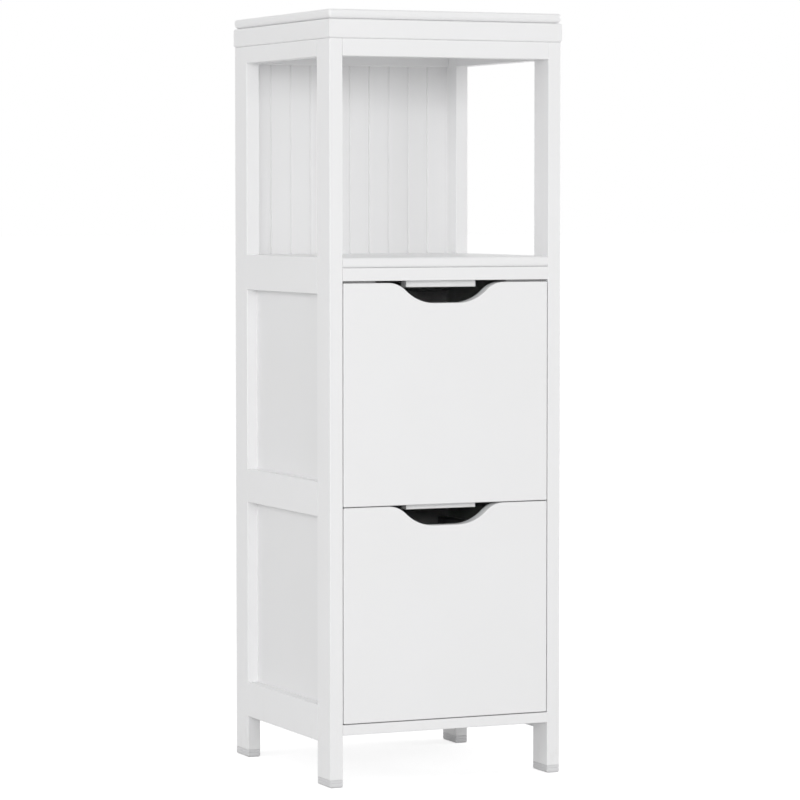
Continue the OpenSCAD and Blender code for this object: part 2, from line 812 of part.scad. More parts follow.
left_front_post();
left_back_post();
right_front_post();
right_back_post();
left_top_rail();
left_shelf_rail();
left_middle_rail();
left_bottom_rail();
right_top_rail();
right_shelf_rail();
right_middle_rail();
right_bottom_rail();
left_upper_panel();
left_lower_panel();
right_upper_panel();
right_lower_panel();
top_board();
top_strip_front();
top_strip_back();
top_strip_left();
top_strip_right();
front_top_rail();
front_shelf_rail();
rear_top_rail();
rear_shelf_rail();
rear_bottom_rail();
shelf_board();
bottom_board();
back_panel_upper();
back_panel_lower();
drawer_stop_rails();
left_upper_runner();
left_lower_runner();
right_upper_runner();
right_lower_runner();
foot_glides();
frame_dowels();
cross_dowels();
cam_bolts();
cam_locks();
runner_screws();
top_screws();
upper_drawer_front();
upper_drawer_left_side();
upper_drawer_right_side();
upper_drawer_back();
upper_drawer_bottom();
upper_drawer_dowels();
upper_drawer_cam_bolts();
upper_drawer_cam_locks();
upper_drawer_screws();
lower_drawer_front();
lower_drawer_left_side();
lower_drawer_right_side();
lower_drawer_back();
lower_drawer_bottom();
lower_drawer_dowels();
lower_drawer_cam_bolts();
lower_drawer_cam_locks();
lower_drawer_screws();
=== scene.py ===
import json
import logging
import math
from dataclasses import dataclass, field
from enum import Enum
from typing import Optional, Sequence, Union

import bpy
import numpy as np
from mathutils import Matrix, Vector

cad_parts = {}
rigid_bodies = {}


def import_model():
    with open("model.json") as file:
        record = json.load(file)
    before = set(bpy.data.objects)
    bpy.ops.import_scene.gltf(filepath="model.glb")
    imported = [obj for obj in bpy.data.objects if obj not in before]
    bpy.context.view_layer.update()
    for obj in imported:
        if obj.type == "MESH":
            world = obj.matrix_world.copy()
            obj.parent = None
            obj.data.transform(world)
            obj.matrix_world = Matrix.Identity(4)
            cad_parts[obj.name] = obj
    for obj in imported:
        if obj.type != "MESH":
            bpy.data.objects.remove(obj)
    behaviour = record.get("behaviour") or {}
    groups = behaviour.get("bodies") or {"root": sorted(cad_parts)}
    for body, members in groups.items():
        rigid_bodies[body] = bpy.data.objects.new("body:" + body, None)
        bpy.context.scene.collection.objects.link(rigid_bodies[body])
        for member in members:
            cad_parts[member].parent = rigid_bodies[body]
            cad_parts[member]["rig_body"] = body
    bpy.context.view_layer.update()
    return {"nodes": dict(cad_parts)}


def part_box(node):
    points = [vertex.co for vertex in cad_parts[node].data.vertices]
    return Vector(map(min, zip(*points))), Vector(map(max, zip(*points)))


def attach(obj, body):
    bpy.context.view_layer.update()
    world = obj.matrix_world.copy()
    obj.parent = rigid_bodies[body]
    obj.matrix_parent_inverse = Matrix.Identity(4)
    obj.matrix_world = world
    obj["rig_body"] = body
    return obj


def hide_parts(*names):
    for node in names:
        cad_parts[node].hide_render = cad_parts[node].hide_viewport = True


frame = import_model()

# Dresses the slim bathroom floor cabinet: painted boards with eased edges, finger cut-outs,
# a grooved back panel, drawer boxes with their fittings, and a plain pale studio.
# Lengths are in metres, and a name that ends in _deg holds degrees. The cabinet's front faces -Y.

log = logging.getLogger("cabinet")

MM = 0.001
SHARP_DEG = 35.0
Colour = tuple[float, float, float]
Place = tuple[float, float, float]
Stretch = tuple[float, float, float]


class Side(Enum):
    """A side of the cabinet, by the word that stands in its nodes' names."""

    FRONT = "front"
    BACK = "back"
    LEFT = "left"
    RIGHT = "right"


class Level(Enum):
    """The upper or the lower drawer, and the panels and runners at its height."""

    UPPER = "upper"
    LOWER = "lower"


class Along(Enum):
    """The axis that a board runs on, with the order of its section's axes and its own."""

    X = (1, 2, 0)
    Y = (2, 0, 1)
    Z = (0, 1, 2)

    def place(self, section: np.ndarray, run: np.ndarray) -> np.ndarray:
        """Turns section points and positions along the run into points in space.

        Args:
            section: Points in the section, shape (..., 2).
            run: Positions along the axis, shape (...).

        Returns:
            Points in space, shape (..., 3).
        """
        first, second, third = self.value
        points = np.empty(section.shape[:-1] + (3,))
        points[..., first] = section[..., 0]
        points[..., second] = section[..., 1]
        points[..., third] = run
        return points


def post_name(side: Side, end: Side) -> str:
    """The node of the post at that side and end."""
    return f"{side.value}_{end.value}_post"


# Shapes

@dataclass
class Shape:
    """A closed surface: its points, its four-sided faces and its flat ends."""

    points: np.ndarray
    quads: np.ndarray
    ends: list[np.ndarray] = field(default_factory=list)

    def volume(self) -> float:
        """Sums a . (b x c) over the triangles a, b, c that the faces split into.

        Returns:
            Six times the volume, negative where the faces point inwards.
        """
        fans = [self.quads[:, [0, 1, 2]], self.quads[:, [0, 2, 3]]]
        for loop in self.ends:
            first = np.full(len(loop) - 2, loop[0])
            fans.append(np.stack([first, loop[1:-1], loop[2:]], axis=-1))
        a, b, c = np.moveaxis(self.points[np.concatenate(fans)], 1, 0)
        return float(np.einsum("ij,ij->", a, np.cross(b, c)))

    def outward(self) -> "Shape":
        """Turns the faces outwards.

        Returns:
            The same surface, its faces turned round where its volume is negative.
        """
        if self.volume() >= 0:
            return self
        return Shape(self.points, self.quads[:, ::-1], [loop[::-1] for loop in self.ends])


def joined(shapes: Sequence[Shape]) -> Shape:
    """Several closed surfaces as one set of points and faces.

    Args:
        shapes: The surfaces, which keep their own points.

    Returns:
        One shape that holds them all.
    """
    starts = np.cumsum([0] + [len(shape.points) for shape in shapes])
    return Shape(
        np.concatenate([shape.points for shape in shapes]),
        np.concatenate([shape.quads + start for shape, start in zip(shapes, starts)]),
        [loop + start for shape, start in zip(shapes, starts) for loop in shape.ends],
    )


def lofted(rings: np.ndarray) -> Shape:
    """A closed surface through rings of points.

    Each ring is joined to the next by four-sided faces, column by column and round to the first
    column, and the first and last rings are closed by one flat face each.

    Args:
        rings: Points, shape (rings, columns, 3).

    Returns:
        The surface with its faces outwards.
    """
    count, width = rings.shape[:2]
    index = np.arange(count * width).reshape(count, width)
    after = np.roll(index, -1, axis=1)
    quads = np.stack([index[:-1], after[:-1], after[1:], index[1:]], axis=-1).reshape(-1, 4)
    return Shape(rings.reshape(-1, 3), quads, [index[0][::-1], index[-1]]).outward()


@dataclass(frozen=True)
class RoundedBox:
    """A section: a rectangle with rounded corners that can be drawn in from its outline."""

    low: tuple[float, float]
    high: tuple[float, float]
    radius: float
    steps: int = 5
    least: float = 0.05 * MM

    def drawn_in(self, inset: np.ndarray) -> np.ndarray:
        """The outline drawn in by each inset; a corner keeps its least radius.

        Args:
            inset: Distances, shape (rings,).

        Returns:
            Outlines, shape (rings, columns, 2).
        """
        quarter = np.linspace(0, 90, self.steps + 1)
        angle = np.radians(quarter[None, :] + 90 * np.arange(4)[:, None]).ravel()
        side = np.repeat([[1, 1], [-1, 1], [-1, -1], [1, -1]], self.steps + 1, axis=0)
        middle = (np.array(self.low) + self.high) / 2
        half = (np.array(self.high) - self.low) / 2
        bend = np.maximum(self.radius - inset, self.least)[:, None, None]
        hold = bend + inset[:, None, None]
        return middle + side * (half - hold) + bend * np.stack([np.cos(angle), np.sin(angle)], axis=-1)


@dataclass(frozen=True)
class FreeOutline:
    """A section given by its points and the directions that point out of the material there."""

    points: np.ndarray
    outward: np.ndarray

    def drawn_in(self, inset: np.ndarray) -> np.ndarray:
        """The outline moved against its outward directions by each inset, shape (rings, columns, 2)."""
        return self.points[None] - inset[:, None, None] * self.outward[None]


Outline = Union[RoundedBox, FreeOutline]


def eased(start: float, end: float, first: float, last: Optional[float] = None,
          steps: int = 4) -> np.ndarray:
    """The run of a board whose two ends are rounded over.

    At an end with radius r the outline is drawn in by r (1 - sin a) where the run has gone
    r (1 - cos a), for a from 0 to 90 degrees.

    Args:
        start: Where the board starts.
        end: Where it ends.
        first: Radius at its start.
        last: Radius at its end, the same where it is left out.
        steps: Faces across each rounded end.

    Returns:
        Rows of inset and position, shape (2 steps + 2, 2).
    """
    last = first if last is None else last
    angle = np.linspace(0, math.pi / 2, steps + 1)
    head = np.stack([first * (1 - np.sin(angle)), start + first * (1 - np.cos(angle))], axis=-1)
    tail = np.stack([last * (1 - np.sin(angle)), end - last * (1 - np.cos(angle))], axis=-1)
    return np.concatenate([head, tail[::-1]])


def slab(outline: Outline, run: np.ndarray, along: Along) -> Shape:
    """A board: an outline carried along an axis and drawn in as its run says.

    Args:
        outline: The section.
        run: Rows of inset and position.
        along: The axis.

    Returns:
        The closed surface.
    """
    section = outline.drawn_in(run[:, 0])
    position = np.broadcast_to(run[:, 1][:, None], section.shape[:2])
    return lofted(along.place(section, position))


def arc_outline(arcs: Sequence[tuple[float, ...]], steps: int) -> FreeOutline:
    """An outline of round stretches joined by straight ones.

    Args:
        arcs: Rows of the centre's two coordinates, the radius, the first and the last angle in
            degrees, and 1 where the material is inside the arc or -1 where it is outside.
        steps: Faces across each arc.

    Returns:
        The outline, in the order of the arcs.
    """
    table = np.array(arcs, float)
    share = np.linspace(0, 1, steps + 1)[None, :]
    angle = np.radians(table[:, 3:4] + (table[:, 4:5] - table[:, 3:4]) * share)
    ray = np.stack([np.cos(angle), np.sin(angle)], axis=-1)
    points = table[:, None, 0:2] + table[:, None, 2:3] * ray
    return FreeOutline(points.reshape(-1, 2), (ray * table[:, None, 5:6]).reshape(-1, 2))


def outward_of(points: np.ndarray) -> np.ndarray:
    """Outward directions of a closed outline: its tangent turned right by 90 degrees.

    Args:
        points: The outline, anticlockwise, shape (columns, 2).

    Returns:
        Directions of length 1, shape (columns, 2).
    """
    tangent = np.roll(points, -1, axis=0) - np.roll(points, 1, axis=0)
    turned = np.stack([tangent[:, 1], -tangent[:, 0]], axis=-1)
    return turned / np.linalg.norm(turned, axis=1, keepdims=True)


# Shader maths

Value = Union["Wire", float]


class Wire:
    """A socket in a material, with the arithmetic that adds Math nodes."""

    def __init__(self, paper: "Paper", socket: bpy.types.NodeSocket) -> None:
        """Keeps the material's builder and the socket."""
        self.paper = paper
        self.socket = socket

    def __add__(self, other: Value) -> "Wire":
        """This plus other."""
        return self.paper.math("ADD", self, other)

    def __sub__(self, other: Value) -> "Wire":
        """This minus other."""
        return self.paper.math("SUBTRACT", self, other)

    def __rsub__(self, other: Value) -> "Wire":
        """Other minus this."""
        return self.paper.math("SUBTRACT", other, self)

    def __mul__(self, other: Value) -> "Wire":
        """This times other."""
        return self.paper.math("MULTIPLY", self, other)

    __radd__ = __add__
    __rmul__ = __mul__


class Paper:
    """Draws the nodes of one material or world."""

    def __init__(self, tree: bpy.types.NodeTree) -> None:
        """Starts with that tree emptied."""
        self.tree = tree
        self.tree.nodes.clear()

    def node(self, kind: str, settings: dict, sockets: dict,
             out: Union[int, str, None] = 0) -> Optional[Wire]:
        """Adds a node.

        Args:
            kind: The node's type.
            settings: Its properties, set first.
            sockets: Values or links of its inputs, by name or number.
            out: The output that is wanted, or None where it has none.

        Returns:
            That output.
        """
        made = self.tree.nodes.new(kind)
        for key, value in settings.items():
            setattr(made, key, value)
        for key, value in sockets.items():
            if isinstance(value, Wire):
                self.tree.links.new(value.socket, made.inputs[key])
            else:
                made.inputs[key].default_value = value
        return None if out is None else Wire(self, made.outputs[out])

    def seen(self) -> Wire:
        """Tells the rays that see the background from those that only light the cabinet.

        Returns:
            1 on rays from the camera, from gloss and through glass, else 0.
        """
        kinds = ("Is Camera Ray", "Is Glossy Ray", "Is Transmission Ray")
        camera, gloss, glass = (self.node("ShaderNodeLightPath", {}, {}, kind) for kind in kinds)
        return self.math("ADD", camera + gloss, glass, clamp=True)

    def math(self, operation: str, *values: Value, clamp: bool = False) -> Wire:
        """A Math node of that operation."""
        settings = {"operation": operation, "use_clamp": clamp}
        return self.node("ShaderNodeMath", settings, dict(enumerate(values)))

    def place(self) -> Wire:
        """The point of the surface, in metres."""
        return self.node("ShaderNodeTexCoord", {}, {}, "Object")

    def axis(self, place: Wire, name: str) -> Wire:
        """One coordinate of a place, X, Y or Z."""
        return self.node("ShaderNodeSeparateXYZ", {}, {"Vector": place}, name)

    def stretched(self, place: Wire, scale: Stretch) -> Wire:
        """A place scaled by its own factor on each axis."""
        return self.node("ShaderNodeVectorMath", {"operation": "MULTIPLY"}, {0: place, 1: scale})

    def noise(self, place: Wire, scale: float, detail: float = 2.0, rough: float = 0.5) -> Wire:
        """Noise from 0 to 1 with that many features in a metre."""
        sockets = {"Vector": place, "Scale": scale, "Detail": detail, "Roughness": rough}
        return self.node("ShaderNodeTexNoise", {"normalize": True}, sockets, 0)

    def ramp(self, value: Wire, low: float, high: float, to_low: float = 0.0,
             to_high: float = 1.0) -> Wire:
        """A value taken smoothly from one range to another and held at its ends."""
        sockets = {"Value": value, 1: low, 2: high, 3: to_low, 4: to_high}
        return self.node("ShaderNodeMapRange", {"interpolation_type": "SMOOTHSTEP"}, sockets, 0)

    def blend(self, share: Wire, first: Colour, second: Colour) -> Wire:
        """A colour between two colours."""
        sockets = {0: share, 6: (*first, 1.0), 7: (*second, 1.0)}
        return self.node("ShaderNodeMix", {"data_type": "RGBA"}, sockets, 2)

    def bump(self, height: Wire, depth: float) -> Wire:
        """A normal that follows a height from 0 to 1, where 1 stands for that many metres."""
        return self.node("ShaderNodeBump", {}, {"Height": height, "Distance": depth})

    def surface(self, **sockets: Value) -> None:
        """Closes a material with a Principled surface.

        Args:
            sockets: Its inputs, with _ for the spaces in their names.
        """
        named = {key.replace("_", " "): value for key, value in sockets.items()}
        shader = self.node("ShaderNodeBsdfPrincipled", {}, named)
        self.node("ShaderNodeOutputMaterial", {}, {"Surface": shader}, None)


# Finishes: a name that ends in _grain holds the number of features in a metre

@dataclass(frozen=True)
class SatinPaint:
    """Sprayed satin paint on fibreboard, with the sprayer's faint peel and the lay of the sanding."""

    name: str
    slot: str = "white_paint"
    colour: Colour = (0.90, 0.90, 0.905)
    worn: Colour = (0.74, 0.73, 0.70)
    rough: float = 0.36
    lay: Stretch = (1.0, 1.0, 0.06)
    cloud_grain: float = 7.0
    sanding_grain: float = 420.0
    peel_grain: float = 650.0
    speck_grain: float = 260.0
    scuff_grain: float = 60.0
    scuff_lay: Stretch = (1.0, 1.0, 0.35)
    scuff_height: float = 0.10
    relief: float = 0.06 * MM

    def draw(self, paper: Paper) -> None:
        """Draws the paint: clouds and specks in its tone, and scuffs that fade out above the floor.

        Args:
            paper: The material's nodes.
        """
        place = paper.place()
        height = paper.axis(place, "Z")
        cloud = paper.noise(place, self.cloud_grain, 3.0)
        sanding = paper.noise(paper.stretched(place, self.lay), self.sanding_grain, 3.0, 0.6)
        peel = paper.noise(place, self.peel_grain, 1.0, 0.4)
        specks = paper.ramp(paper.noise(place, self.speck_grain, 2.0), 0.70, 0.80)
        low = paper.ramp(height, 0.0, self.scuff_height, 1.0, 0.0)
        marks = paper.noise(paper.stretched(place, self.scuff_lay), self.scuff_grain, 4.0, 0.7)
        scuffs = low * paper.ramp(marks, 0.55, 0.75)
        tone = paper.ramp(cloud, 0.3, 0.7, 0.0, 0.055) + specks * 0.05 + scuffs * 0.30
        paper.surface(
            Base_Color=paper.blend(tone, self.colour, self.worn),
            Roughness=self.rough + 0.10 * (sanding - 0.5) + 0.06 * (cloud - 0.5) + 0.12 * scuffs,
            Normal=paper.bump(peel * 0.6 + sanding * 0.4, self.relief),
        )


@dataclass(frozen=True)
class FoilWrapPaintedShade:
    """Matt foil pressed on fibreboard, with the fine pores of its print; its dark grey is painted shade
    that makes the inside of a closed drawer look dark through the cut-out.
    """

    name: str
    slot: str = "drawer_box"
    # Painted shade: this dark grey and the darker pore colour stand in for the shade inside the closed
    # drawers, seen through the cut-outs.
    colour: Colour = (0.28, 0.28, 0.29)
    pore_colour: Colour = (0.20, 0.20, 0.205)
    rough: float = 0.56
    lay: Stretch = (1.0, 0.08, 1.0)
    pore_grain: float = 900.0
    cloud_grain: float = 12.0
    relief: float = 0.05 * MM

    def draw(self, paper: Paper) -> None:
        """Draws the foil: long pores over faint clouds.

        Args:
            paper: The material's nodes.
        """
        place = paper.place()
        pores = paper.noise(paper.stretched(place, self.lay), self.pore_grain, 3.0, 0.6)
        cloud = paper.noise(place, self.cloud_grain, 2.0)
        share = paper.ramp(pores, 0.52, 0.78, 0.0, 0.55) + 0.08 * cloud
        paper.surface(
            Base_Color=paper.blend(share, self.colour, self.pore_colour),
            Roughness=self.rough + 0.12 * (pores - 0.5),
            Normal=paper.bump(pores, self.relief),
        )


@dataclass(frozen=True)
class PlainBirch:
    """Planed birch: pale wood with long darker fibres and faint rings."""

    name: str
    slot: str = "birch"
    pale: Colour = (0.72, 0.55, 0.36)
    dark: Colour = (0.50, 0.33, 0.18)
    rough: float = 0.55
    fibre_lay: Stretch = (1.0, 0.04, 1.0)
    fibre_grain: float = 700.0
    ring_lay: Stretch = (1.0, 0.10, 1.0)
    ring_grain: float = 90.0
    relief: float = 0.12 * MM

    def draw(self, paper: Paper) -> None:
        """Draws the wood: darker fibres and rings that run along Y.

        Args:
            paper: The material's nodes.
        """
        place = paper.place()
        fibre = paper.noise(paper.stretched(place, self.fibre_lay), self.fibre_grain, 4.0, 0.6)
        rings = paper.noise(paper.stretched(place, self.ring_lay), self.ring_grain, 2.0)
        share = paper.ramp(fibre, 0.42, 0.75, 0.0, 0.6) + 0.35 * paper.ramp(rings, 0.45, 0.60)
        paper.surface(
            Base_Color=paper.blend(share, self.pale, self.dark),
            Roughness=self.rough + 0.15 * (fibre - 0.5),
            Normal=paper.bump(fibre, self.relief),
        )


@dataclass(frozen=True)
class PlatedMetal:
    """Zinc-plated or die-cast metal with fine marks of its making."""

    name: str
    slot: str
    colour: Colour
    rough: float
    stained: float = 0.72
    mark_grain: float = 1500.0
    stain_grain: float = 160.0
    relief: float = 0.04 * MM

    def draw(self, paper: Paper) -> None:
        """Draws the metal: fine marks, and stains where it is duller.

        Args:
            paper: The material's nodes.
        """
        place = paper.place()
        marks = paper.noise(place, self.mark_grain, 3.0, 0.6)
        stain = paper.noise(place, self.stain_grain, 2.0)
        dull = tuple(self.stained * part for part in self.colour)
        paper.surface(
            Base_Color=paper.blend(paper.ramp(stain, 0.35, 0.75, 0.0, 0.6), self.colour, dull),
            Metallic=1.0,
            Roughness=self.rough + 0.16 * (marks - 0.5) + 0.10 * (stain - 0.5),
            Normal=paper.bump(marks, self.relief),
        )


@dataclass(frozen=True)
class MouldedPlastic:
    """Pale grey moulded plastic with a fine spark-eroded surface, scuffed where it meets the floor."""

    name: str
    slot: str = "glide_plastic"
    colour: Colour = (0.74, 0.74, 0.75)
    scuffed: Colour = (0.60, 0.59, 0.57)
    rough: float = 0.50
    spark_grain: float = 1400.0
    blot_grain: float = 220.0
    scuff_start: float = 0.5 * MM
    scuff_end: float = 4.5 * MM
    relief: float = 0.08 * MM

    def draw(self, paper: Paper) -> None:
        """Draws the plastic: a fine surface, and blots of scuffing just above the floor.

        Args:
            paper: The material's nodes.
        """
        place = paper.place()
        height = paper.axis(place, "Z")
        sparks = paper.noise(place, self.spark_grain, 3.0, 0.6)
        blots = paper.ramp(paper.noise(place, self.blot_grain, 4.0, 0.7), 0.45, 0.70)
        scuff = paper.ramp(height, self.scuff_start, self.scuff_end, 1.0, 0.0) * blots
        paper.surface(
            Base_Color=paper.blend(scuff * 0.8 + sparks * 0.1, self.colour, self.scuffed),
            Roughness=self.rough + 0.15 * (sparks - 0.5) + 0.15 * scuff,
            Normal=paper.bump(sparks, self.relief),
        )


Finish = Union[SatinPaint, FoilWrapPaintedShade, PlainBirch, PlatedMetal, MouldedPlastic]

UPRIGHT = SatinPaint("paint_upright")
ACROSS = SatinPaint("paint_across", lay=(0.06, 1.0, 1.0))
INWARD = SatinPaint("paint_inward", lay=(1.0, 0.06, 1.0))
PANEL = SatinPaint("paint_panel", slot="panel_paint", colour=(0.87, 0.87, 0.875), rough=0.42)
FOIL_PAINTED_SHADE = FoilWrapPaintedShade("foil_grey_painted_shade")
BIRCH = PlainBirch("birch_plain")
STEEL = PlatedMetal("steel_plated", slot="steel", colour=(0.66, 0.67, 0.69), rough=0.30)
ZINC = PlatedMetal("zinc_cast", slot="zinc", colour=(0.52, 0.53, 0.55), rough=0.48)
GLIDE = MouldedPlastic("glide_plastic")


# The cabinet

class Workshop:
    """Makes pieces, dresses the carried-over nodes and keeps each finish's material."""

    def __init__(self) -> None:
        """Starts with no materials and the frame's nodes."""
        self.materials: dict[str, bpy.types.Material] = {}
        self.nodes: dict[str, bpy.types.Object] = frame["nodes"]

    def paint(self, finish: Finish) -> bpy.types.Material:
        """The finish's material, made once.

        Args:
            finish: The finish.

        Returns:
            Its material.
        """
        if finish.name not in self.materials:
            material = bpy.data.materials.new(finish.name)
            material.use_nodes = True
            finish.draw(Paper(material.node_tree))
            self.materials[finish.name] = material
        return self.materials[finish.name]

    def body_of(self, node: str) -> str:
        """The body that a node rides on."""
        return self.nodes[node]["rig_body"]

    def piece(self, name: str, shape: Shape, finish: Finish, replaced: Sequence[str]) -> None:
        """Puts a closed surface into the scene in place of CAD nodes.

        Args:
            name: The piece's name.
            shape: Its surface.
            finish: What covers it.
            replaced: The nodes that it stands for, all on one body.
        """
        mesh = bpy.data.meshes.new(name)
        faces = [*shape.quads.tolist(), *(loop.tolist() for loop in shape.ends)]
        mesh.from_pydata(shape.points.tolist(), [], faces)
        mesh.validate()
        mesh.shade_smooth()
        mesh.set_sharp_from_angle(angle=math.radians(SHARP_DEG))
        mesh.materials.append(self.paint(finish))
        made = bpy.data.objects.new(name, mesh)
        bpy.context.scene.collection.objects.link(made)
        weighted = made.modifiers.new("even_shading", "WEIGHTED_NORMAL")
        weighted.keep_sharp = True
        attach(made, self.body_of(replaced[0]))
        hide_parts(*replaced)
        log.info("piece %s: %d points, stands for %s", name, len(mesh.vertices), ", ".join(replaced))

    def dress(self, node: str, finish: Finish) -> None:
        """Gives a carried-over node its finish.

        Args:
            node: The node.
            finish: What covers it.
        """
        slots = self.nodes[node].data.materials
        slots.clear()
        slots.append(self.paint(finish))
        log.info("node %s: %s", node, finish.name)

    def board(self, node: str, along: Along, finish: Finish, radius: float, ease: float) -> None:
        """Makes a board with eased edges in the place of a node, as large as the node's box.

        Args:
            node: The node.
            along: The axis that it runs on.
            finish: What covers it.
            radius: Radius of its long edges.
            ease: Radius round its two ends.
        """
        low, high = (np.array(corner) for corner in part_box(node))
        first, second, third = along.value
        outline = RoundedBox((low[first], low[second]), (high[first], high[second]), radius)
        shape = slab(outline, eased(low[third], high[third], ease), along)
        self.piece(node + "_board", shape, finish, [node])


@dataclass
class SideFrame:
    """One side of the cabinet: two posts, four rails and two thin panels."""

    side: Side
    edge: float = 1.0 * MM
    post_end: float = 0.8 * MM
    rail_end: float = 0.25 * MM
    panel_edge: float = 0.4 * MM
    rails: tuple[str, ...] = ("shelf_rail", "middle_rail", "bottom_rail")

    def build(self, shop: Workshop) -> None:
        """Builds the frame; its top rail keeps the solid's shape.

        Args:
            shop: Makes and dresses the pieces.
        """
        for end in (Side.FRONT, Side.BACK):
            shop.board(post_name(self.side, end), Along.Z, UPRIGHT, self.edge, self.post_end)
        for rail in self.rails:
            shop.board(f"{self.side.value}_{rail}", Along.Y, INWARD, self.edge, self.rail_end)
        shop.dress(f"{self.side.value}_top_rail", INWARD)
        for level in Level:
            panel = f"{self.side.value}_{level.value}_panel"
            shop.board(panel, Along.Z, PANEL, self.panel_edge, self.panel_edge)


@dataclass
class Top:
    """The top board on its four mitred strips."""

    corner: float = 4.0 * MM
    upper_round: float = 3.0 * MM
    lower_round: float = 6.0 * MM
    strip_edge: float = 2.5 * MM
    mitre_gap: float = 0.05 * MM
    curve_steps: int = 8

    def build(self, shop: Workshop) -> None:
        """Builds the board and the strips.

        Args:
            shop: Makes and dresses the pieces.
        """
        low, high = (np.array(corner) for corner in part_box("top_board"))
        outline = RoundedBox(tuple(low[:2]), tuple(high[:2]), self.corner, self.curve_steps)
        run = eased(low[2], high[2], self.lower_round, self.upper_round, self.curve_steps)
        shop.piece("top_board_rounded", slab(outline, run, Along.Z), ACROSS, ["top_board"])
        for side in Side:
            self.strip(shop, side)

    def strip(self, shop: Workshop, side: Side) -> None:
        """Builds one strip: its rounded section carried along its edge and mitred at both ends.

        At depth d from the outer face the strip ends d short of the corner.

        Args:
            shop: Makes and dresses the pieces.
            side: The edge that it lies on.
        """
        node = f"top_strip_{side.value}"
        low, high = (np.array(corner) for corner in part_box(node))
        long_axis, deep_axis = (0, 1) if side in (Side.FRONT, Side.BACK) else (1, 0)
        size = (high[deep_axis] - low[deep_axis], high[2] - low[2])
        section = RoundedBox((0.0, 0.0), size, self.strip_edge).drawn_in(np.zeros(1))[0]
        at_low_end = side in (Side.FRONT, Side.LEFT)
        outer, sign = (low[deep_axis], 1) if at_low_end else (high[deep_axis], -1)
        rings = np.empty((2, len(section), 3))
        rings[..., deep_axis] = outer + sign * section[:, 0]
        rings[..., 2] = low[2] + section[:, 1]
        rings[0, :, long_axis] = low[long_axis] + section[:, 0] + self.mitre_gap
        rings[1, :, long_axis] = high[long_axis] - section[:, 0] - self.mitre_gap
        shop.piece(node + "_mitred", lofted(rings), ACROSS if long_axis == 0 else INWARD, [node])


@dataclass
class Carcass:
    """What joins the two side frames: rails, stop rails, shelf, bottom board and back panels."""

    edge: float = 1.0 * MM
    end: float = 0.25 * MM
    groove_pitch: float = 26.0 * MM
    groove_width: float = 3.0 * MM
    groove_depth: float = 1.5 * MM
    groove_steps: int = 8
    panel_edge: float = 0.4 * MM
    grooved_end: float = 0.12 * MM

    def build(self, shop: Workshop) -> None:
        """Builds the crosswise pieces.

        Args:
            shop: Makes and dresses the pieces.
        """
        for node in ("front_shelf_rail", "rear_top_rail", "rear_shelf_rail", "rear_bottom_rail"):
            shop.board(node, Along.X, ACROSS, self.edge, self.end)
        for node in ("front_top_rail", "shelf_board", "bottom_board", "drawer_stop_rails"):
            shop.dress(node, ACROSS)
        shop.board("back_panel_lower", Along.Z, PANEL, self.panel_edge, self.panel_edge)
        self.grooved_panel(shop)

    def grooved_panel(self, shop: Workshop) -> None:
        """Builds the upper back panel with its upright grooves.

        Across a groove of width w and depth d the face goes back by d (1 + cos(2 pi t / w)) / 2,
        where t is the distance from the middle of the groove.

        Args:
            shop: Makes and dresses the pieces.
        """
        low, high = (np.array(corner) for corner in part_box("back_panel_upper"))
        count = int((high[0] - self.groove_pitch) // self.groove_pitch)
        middles = np.arange(-count, count + 1) * self.groove_pitch
        share = np.linspace(-0.5, 0.5, self.groove_steps + 1)
        across = (middles[:, None] + share[None, :] * self.groove_width).ravel()
        back = np.tile(self.groove_depth * (1 + np.cos(2 * math.pi * share)) / 2, len(middles))
        face = np.stack([across, low[1] + back], axis=-1)
        corners = [[high[0], low[1]], [high[0], high[1]], [low[0], high[1]], [low[0], low[1]]]
        points = np.concatenate([face, np.array(corners)])
        outline = FreeOutline(points, outward_of(points))
        shape = slab(outline, eased(low[2], high[2], self.grooved_end), Along.Z)
        shop.piece("back_panel_grooved", shape, PANEL, ["back_panel_upper"])


